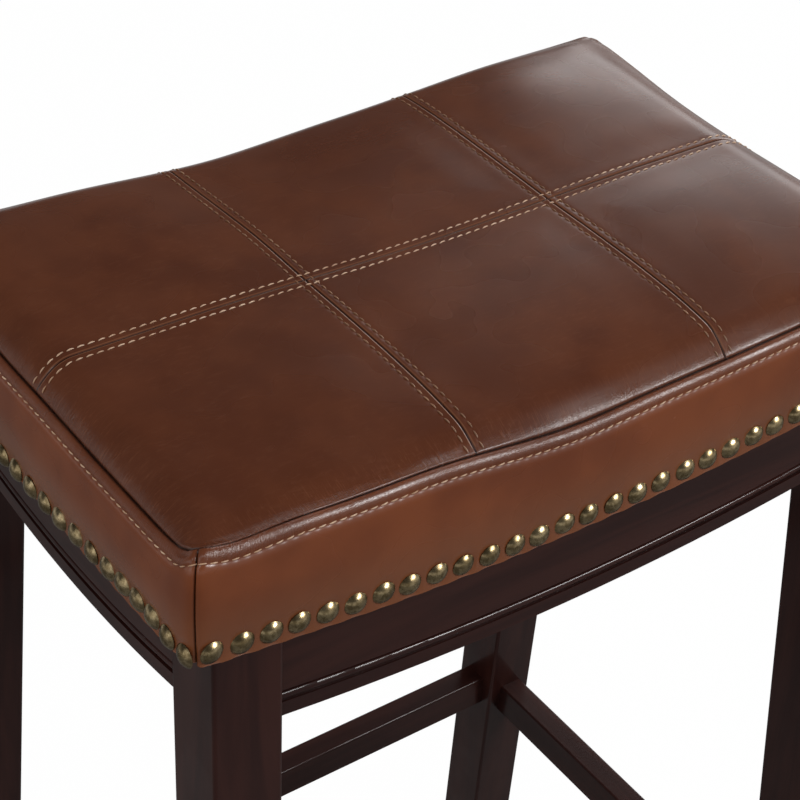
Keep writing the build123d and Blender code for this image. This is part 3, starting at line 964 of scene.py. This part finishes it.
# Strays of the nails: millimetres, the nail that strays the most, and how many nails it fades over
left_along = ((-5.0, 4.6, 3.2),)
left_up = ((3.0, 3.6, 2.2), (-1.8, 0, 1.0), (1.0, 2, 0.7), (-1.2, 0.5, 0.7))
front_along = ((-0.6, 8, 3),)
front_up = ((0.9, 5, 3), (-0.8, 0, 1.5))
# Then a lift of the whole row, and its change between two nails
left_lift, left_change, left_change_nails = -1.0, -1.9, (6, 11)
front_lift, front_change, front_change_nails = 1.1, 1.0, (15, 19)
front_shift, front_shift_nails = 1.5, (12, 21)
right_lift = -2.0


def strays(rows, number):
    """The sum of some strays at one nail."""
    return sum(amount * bell(number - middle, reach) for amount, middle, reach in rows)


def from_nail(number, nails):
    """0 up to one nail, 1 from another."""
    first, last = nails
    return smooth((number - first) / (last - first))


def set_by_eye(side, number):
    """How far a nail strays along its row and up."""
    if side == "left":
        along = strays(left_along, number)
        up = left_lift + left_change * from_nail(number, left_change_nails)
        up += strays(left_up, number)
    elif side == "right":
        along, up = 0.0, right_lift
    else:
        along = front_shift * from_nail(number, front_shift_nails) + strays(front_along, number)
        up = front_lift + front_change * from_nail(number, front_change_nails)
        up += strays(front_up, number)
    return along * MM, up * MM


def nail_row(side):
    """Place and outward direction of each nail of a side, as set by hand."""
    row = []
    for number, place in enumerate(front_nails if side in ("front", "back") else side_nails):
        along, up = set_by_eye(side, number)
        place += random.uniform(-nail_scatter, nail_scatter)
        lift = nail_rise + random.uniform(-nail_scatter, nail_scatter) + up
        if side in ("front", "back"):
            out = Vector((0, -1 if side == "front" else 1, 0))
            level = board_middle + rise(place, board_radius) + lift
            spot = Vector((place + along, out.y * seat_depth / 2, level))
        else:
            out = Vector((-1 if side == "left" else 1, 0, 0))
            level = edge_height - side_sag + rise(place, sag_radius) + lift
            reach = seat_width / 2 + (left_out(place) if side == "left" else 0.0)
            spot = Vector((out.x * reach, place + along, level))
        row.append((spot, out))
    return row


nail_rows = {side: nail_row(side) for side in ("front", "back", "left", "right")}
nail_spots = KDTree(sum(len(row) for row in nail_rows.values()))
for number, (spot, out) in enumerate(nail for row in nail_rows.values() for nail in row):
    nail_spots.insert(spot, number)
nail_spots.balance()


# Ridges and grooves of the leather, each as its height, its middle and its width in millimetres.
# Across a panel seam, where one panel laps over the other
panel_lap = (0.18, -1.1, 0.7)
# On both sides of a panel seam: the seam, the folded edge, the stitches and the swell beyond them
panel_seam_form = (
    (-0.95, 0, 0.45),
    (0.06, 2.2, 1.2),
    (-0.11, stitch_offset / MM, 0.9),
    (0.04, 8.5, 4.0),
)
# In from the edge seam, and down from it on the bands
edge_form = ((-1.2, 0, 0.5), (0.16, 3.0, 2.5))
band_form = ((-1.2, 0, 0.5), (0.36, 3.0, 2.2), (-0.40, stitch_drop / MM, 1.0), (0.18, 10.5, 3.5))
# Beside the bands' corner seams
corner_groove = (-1.2, 0, 0.7)
corner_swell = (0.30, 3.5, 2.5)
# Where the leather is gathered at a corner
edge_pucker = (0.60, 1.4, 1.2)
band_pucker = ((1.2, 5.0, 2.0), (-1.5, 1.6, 1.6))
pucker_middle, pucker_reach = 0.0085, 0.0055
far_pucker = 0.4
# Panel seams fade into the edge seam, and the band is full between its stitches and its nails
seam_end_share, seam_end_start, seam_end_reach = 0.25, 0.002, 0.006
fullness, full_from, full_to, full_rise, full_fall = 0.8, 0.014, 0.050, 0.016, 0.018
band_end = 0.0572
corner_start = 0.002
nail_dent, dent_edge, dent_slope = 0.85, 0.0105, 0.0055


def form(row, away):
    """Height in millimetres, at a distance in metres, of one ridge or groove."""
    height, middle, width = row
    return height * bell(away / MM - middle, width)


def forms(rows, away):
    return sum(form(row, away) for row in rows)


def pucker(point):
    """1 where the leather is gathered beside the front left corner, less at the other corners."""
    from_front = half_depth - abs(point.y)
    if from_front < half_width - abs(point.x):
        return 0.0
    near = point.x < 0 and point.y < 0
    return (1.0 if near else far_pucker) * bell(from_front - pucker_middle, pucker_reach)


def pressed_top(point):
    """How far the top stands out, in millimetres, at a point of the pattern."""
    inset = min(half_width - abs(point.x), half_depth - abs(point.y))
    total = 0.0
    for away in (point.x - math.copysign(column_seam, point.x), point.y):
        total += forms(panel_seam_form, abs(away)) + form(panel_lap, away)
    ends = smooth((inset + seam_end_start) / seam_end_reach)
    total *= seam_end_share + (1 - seam_end_share) * ends
    arc = roll_arc(inset)
    return total + forms(edge_form, arc) + form(edge_pucker, arc) * pucker(point)


def pressed_band(point, spot):
    """How far a band stands out, in millimetres, at a point of the pattern."""
    drop = -point.z
    corner = from_corner(point)
    total = forms(band_form, drop) + forms(band_pucker, drop) * pucker(point)
    middle = smooth((drop - full_from) / full_rise) * smooth((full_to - drop) / full_fall)
    total += fullness * middle
    total += form(corner_groove, corner) * smooth(drop / corner_start) + form(corner_swell, corner)
    nail, number, distance = nail_spots.find(spot)
    return total - nail_dent * smooth((dent_edge - distance) / dent_slope)


def pressed(point, spot):
    """How far the leather stands out, in metres, at a point of the pattern."""
    if -point.z > band_end:
        return 0.0
    if -point.z < tiny:
        return pressed_top(point) * MM
    return pressed_band(point, spot) * MM


clear_reach = 0.006
fold_angle = 50


def set_attributes(piece):
    """Keep what the leather's material follows, in millimetres."""
    names = ("inset", "run", "clear", "sewn")
    for name in names:
        piece.data.attributes.new(name, "FLOAT", "POINT")
    inset, run, clear, sewn = [piece.data.attributes[name].data for name in names]
    for number, point in enumerate(flat):
        drop = -point.z
        from_side, from_front = half_width - abs(point.x), half_depth - abs(point.y)
        if drop < tiny:
            inward = roll_arc(min(from_side, from_front))
            away = min(abs(abs(point.x) - column_seam), abs(point.y), inward)
        else:
            inward = -drop
            away = min(from_corner(point), drop)
        inset[number].value = inward / MM
        run[number].value = run_of(point) / MM
        clear[number].value = smooth(abs(from_side - from_front) / clear_reach)
        sewn[number].value = away / MM


moved = [
    vertex.co + vertex.normal * pressed(point, vertex.co)
    for vertex, point in zip(cushion.data.vertices, flat)
]
for vertex, place in zip(cushion.data.vertices, moved):
    vertex.co = place
set_attributes(cushion)
cushion = finish_shape(cushion, "seat_cushion", fold_angle)
give(cushion, "faux_leather")
panels = [
    f"panel_{row}_{place}" for row in ("front", "back") for place in ("left", "middle", "right")
]
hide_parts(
    "foam_pad", "band_front", "band_back", "band_left", "band_right", *panels
)
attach(cushion, "root")


# Stitching: one stitch, copied along each row

# Half the stitch's length, width and height, and how it lies, in millimetres
stitch_length, stitch_width, stitch_height = 2.1, 0.32, 0.30
stitch_rise, stitch_dip, stitch_lift = 0.16, 0.40, 0.18
stitch_fat, stitch_end = 1.25, 0.9
stitch_slant, stitch_stray = 0.10, 0.05


def new_stitch():
    """A thick thread, pulled down into the leather at both ends."""
    deselect()
    bpy.ops.mesh.primitive_uv_sphere_add(segments=7, ring_count=6, radius=1)
    stitch = bpy.context.object
    bpy.ops.transform.rotate(value=math.pi / 2, orient_axis="Y", center_override=(0, 0, 0))
    bpy.ops.object.transform_apply(location=True, rotation=True, scale=True)
    for vertex in stitch.data.vertices:
        x, y, z = vertex.co
        fat = stitch_fat if abs(x) < stitch_end else 1.0
        height = z * stitch_height * fat + stitch_rise - stitch_dip * x * x
        vertex.co = (x * stitch_length * MM, y * stitch_width * fat * MM, height * MM)
    return stitch


def path_places(path, pitch, closed=False):
    """Middle, direction and outward normal of each stitch along a path of points and normals."""
    path = path + path[:1] if closed else path
    lengths = [0.0]
    for (a, _), (b, _) in zip(path, path[1:]):
        lengths.append(lengths[-1] + (b - a).length)
    count = max(1, round(lengths[-1] / pitch))
    places = []
    segment = 0
    for number in range(count):
        want = lengths[-1] * (number + 0.5) / count
        while lengths[segment + 1] < want:
            segment += 1
        share = (want - lengths[segment]) / (lengths[segment + 1] - lengths[segment])
        (a, a_normal), (b, b_normal) = path[segment], path[segment + 1]
        ahead, behind = min(segment + 3, len(path) - 1), max(segment - 2, 0)
        direction = (path[ahead][0] - path[behind][0]).normalized()
        places.append((a.lerp(b, share), direction, a_normal.lerp(b_normal, share).normalized()))
    return places


def mesh_path(piece, test, order):
    """Points and normals of the cushion along one line of its flat pattern."""
    found = [number for number, point in enumerate(flat) if test(point)]
    found.sort(key=lambda number: order(flat[number]))
    return [
        (piece.data.vertices[number].co.copy(), piece.data.vertices[number].normal.copy())
        for number in found
    ]


def joined(pattern, places):
    """Copies of a pattern at some places, joined into one object. The pattern is used up."""
    copies = []
    for place in places:
        copy = pattern.copy()
        copy.data = pattern.data.copy()
        copy.data.transform(place)
        scene.collection.objects.link(copy)
        copies.append(copy)
    bpy.data.objects.remove(pattern)
    deselect()
    for copy in copies:
        copy.select_set(True)
    bpy.context.view_layer.objects.active = copies[0]
    bpy.ops.object.join()
    return bpy.context.object


def stitch_place(middle, direction, normal):
    """Where one stitch lies, a little aslant to its row."""
    side = normal.cross(direction).normalized()
    swing = random.uniform(-stitch_stray, stitch_stray) + stitch_slant
    along = (direction + side * swing).normalized()
    side = normal.cross(along).normalized()
    turn = Matrix((along, side, along.cross(side))).transposed().to_4x4()
    return Matrix.Translation(middle + normal * stitch_lift * MM) @ turn


def sew(name, paths, finish, closed=False):
    """A row of stitches along each path, as one piece."""
    pattern = new_stitch()
    places = [
        stitch_place(*place) for path in paths for place in path_places(path, stitch_pitch, closed)
    ]
    row = finish_shape(joined(pattern, places), name)
    give(row, finish)
    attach(row, "root")


edge_gap = 0.0006


def on_line(value, line):
    """Whether a point of the pattern lies on one of its lines."""
    return abs(value - line) < same_line


def seam_path(across, line):
    """The cushion along a line of its top, beside a seam across it or along it."""

    def beside(point):
        inset = min(half_width - abs(point.x), half_depth - abs(point.y))
        value = point.x if across else point.y
        return point.z > -tiny and on_line(value, line) and inset > edge_gap

    return mesh_path(cushion, beside, lambda point: point.y if across else point.x)


for name, seam in (("left", -column_seam), ("right", column_seam)):
    beside_seam = [seam_path(True, seam + side * stitch_offset) for side in (-1, 1)]
    sew(f"stitching_{name}_seam", beside_seam, "dull_thread")
beside_seam = [seam_path(False, side * stitch_offset) for side in (-1, 1)]
sew("stitching_middle_seam", beside_seam, "thread")
around = mesh_path(
    cushion,
    lambda point: on_line(point.z, -stitch_drop),
    lambda point: math.atan2(point.y / half_depth, point.x / half_width),
)
sew("stitching_band", [around], "thread", closed=True)


# Nails: one domed head on its shank, copied along each side

head_lip, head_lip_share = 0.0005, 0.9
shank_inset, shank_length, shank_point_share = 0.0046, 0.0072, 0.35
nail_tilt = 0.06
dome_angle = 40
nail_sink = 0.4 * MM


def new_nail():
    """A dome, closed below, with a shank that narrows to its point."""
    deselect()
    ball = (nail_radius**2 + nail_height**2) / (2 * nail_height)
    bpy.ops.mesh.primitive_uv_sphere_add(segments=18, ring_count=20, radius=ball)
    nail = bpy.context.object
    bpy.ops.transform.translate(value=(0, 0, nail_height - ball))
    bpy.ops.object.transform_apply(location=True, rotation=True, scale=True)
    edit(nail)
    bpy.ops.mesh.select_all(action="SELECT")
    bpy.ops.mesh.bisect(
        plane_co=(0, 0, 0), plane_no=(0, 0, 1), use_fill=True, clear_inner=True
    )
    select_where(nail, "FACE", lambda middle: middle.z < 0.1 * MM)
    bpy.ops.mesh.extrude_region_move(TRANSFORM_OT_translate={"value": (0, 0, -head_lip)})
    bpy.ops.transform.resize(
        value=(head_lip_share, head_lip_share, 1), center_override=(0, 0, 0)
    )
    bpy.ops.mesh.inset(thickness=shank_inset)
    bpy.ops.mesh.extrude_region_move(TRANSFORM_OT_translate={"value": (0, 0, -shank_length)})
    bpy.ops.transform.resize(
        value=(shank_point_share, shank_point_share, 1), center_override=(0, 0, 0)
    )
    done()
    return nail


def nail_place(spot, out):
    """Where one nail is driven in, not quite straight."""
    tilt = Vector([random.uniform(-1, 1) for axis in range(3)]) * nail_tilt
    facing = (out + tilt).normalized().to_track_quat("Z", "Y").to_matrix().to_4x4()
    spin = Matrix.Rotation(random.uniform(0, math.pi), 4, "Z")
    return Matrix.Translation(spot - out * nail_sink) @ facing @ spin


for side, row in nail_rows.items():
    places = [nail_place(spot, out) for spot, out in row]
    heads = finish_shape(joined(new_nail(), places), f"domed_nails_{side}", dome_angle)
    give(heads, "antique_brass")
    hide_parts(f"nails_{side}")
    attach(heads, "root")


# Studio: a pale floor, a white surround and soft boxes


def floor():
    """A pale floor that the camera sees as white."""
    shaded_floor, pale_floor = (0.16, 0.16, 0.16), (0.82, 0.82, 0.82)
    deselect()
    bpy.ops.mesh.primitive_plane_add(size=5)
    ground = bpy.context.object
    ground.name = "floor"
    f = new_finish("pale_floor")
    seen, shiny = f.rays("Is Camera Ray"), f.rays("Is Glossy Ray")
    colour = f.mix(seen, shaded_floor, pale_floor)
    plain = f.node("ShaderNodeBsdfDiffuse", {}, {"Color": colour})
    white = f.node("ShaderNodeEmission", {}, {"Color": (1, 1, 1, 1), "Strength": 1.0})
    glow = seen * 0.985 + shiny * 0.04
    mixed = f.node("ShaderNodeMixShader", {}, {0: glow, 1: plain, 2: white})
    node_output(f, "ShaderNodeOutputMaterial", mixed)
    ground.data.materials.append(f.owner)


floor()


def surround():
    """White for the camera, soft for the light, and dark high up for what shines."""
    daylight, dark_sky, sky_height = 0.62, 0.08, 0.16
    world = bpy.data.worlds.new("studio")
    scene.world = world
    f = Finish(world)
    seen = f.rays("Is Camera Ray")
    glossy = f.rays("Is Glossy Ray") + f.rays("Is Transmission Ray")
    height = f.part(f.node("ShaderNodeTexCoord", output="Generated"), 2)
    mirrored = f.step(height, 0.0, sky_height, daylight, dark_sky)
    strength = seen + (1 - seen) * (glossy * mirrored + (1 - glossy) * daylight)
    sky = f.node("ShaderNodeBackground", {}, {"Color": (1, 1, 1, 1), "Strength": strength})
    node_output(f, "ShaderNodeOutputWorld", sky)
    world.cycles.sampling_method = "NONE"


surround()


def soft_box(name, place, target, size, power, sheen_only=False):
    """A soft lamp that faces a target."""
    lamp = bpy.data.lights.new(name, "AREA")
    lamp.shape = "RECTANGLE"
    lamp.size, lamp.size_y = size
    lamp.energy = power
    thing = bpy.data.objects.new(name, lamp)
    aim = (Vector(target) - Vector(place)).to_track_quat("-Z", "Y")
    thing.matrix_world = Matrix.Translation(place) @ aim.to_matrix().to_4x4()
    thing.visible_diffuse = not sheen_only
    scene.collection.objects.link(thing)


soft_box("box_front_right", (0.95, -1.42, 1.52), (0, -0.1, 0.74), (0.46, 0.40), 12)
soft_box("edge_sheen", (0.85, -1.47, 1.42), (0, -0.1, 0.74), (0.9, 0.34), 21, sheen_only=True)
soft_box("box_right", (1.9, 0.3, 1.25), (0, 0, 0.72), (0.8, 1.1), 12)
soft_box("box_left", (-2.2, -0.3, 1.3), (0, 0, 0.7), (1.6, 1.2), 6.3)
soft_box("box_left_high", (-1.45, -0.8, 2.25), (-0.2, -0.1, 0.72), (0.45, 0.45), 3.5)
soft_box("box_back_right", (1.85, 1.15, 1.48), (0.08, 0, 0.76), (1.3, 0.7), 7.5)
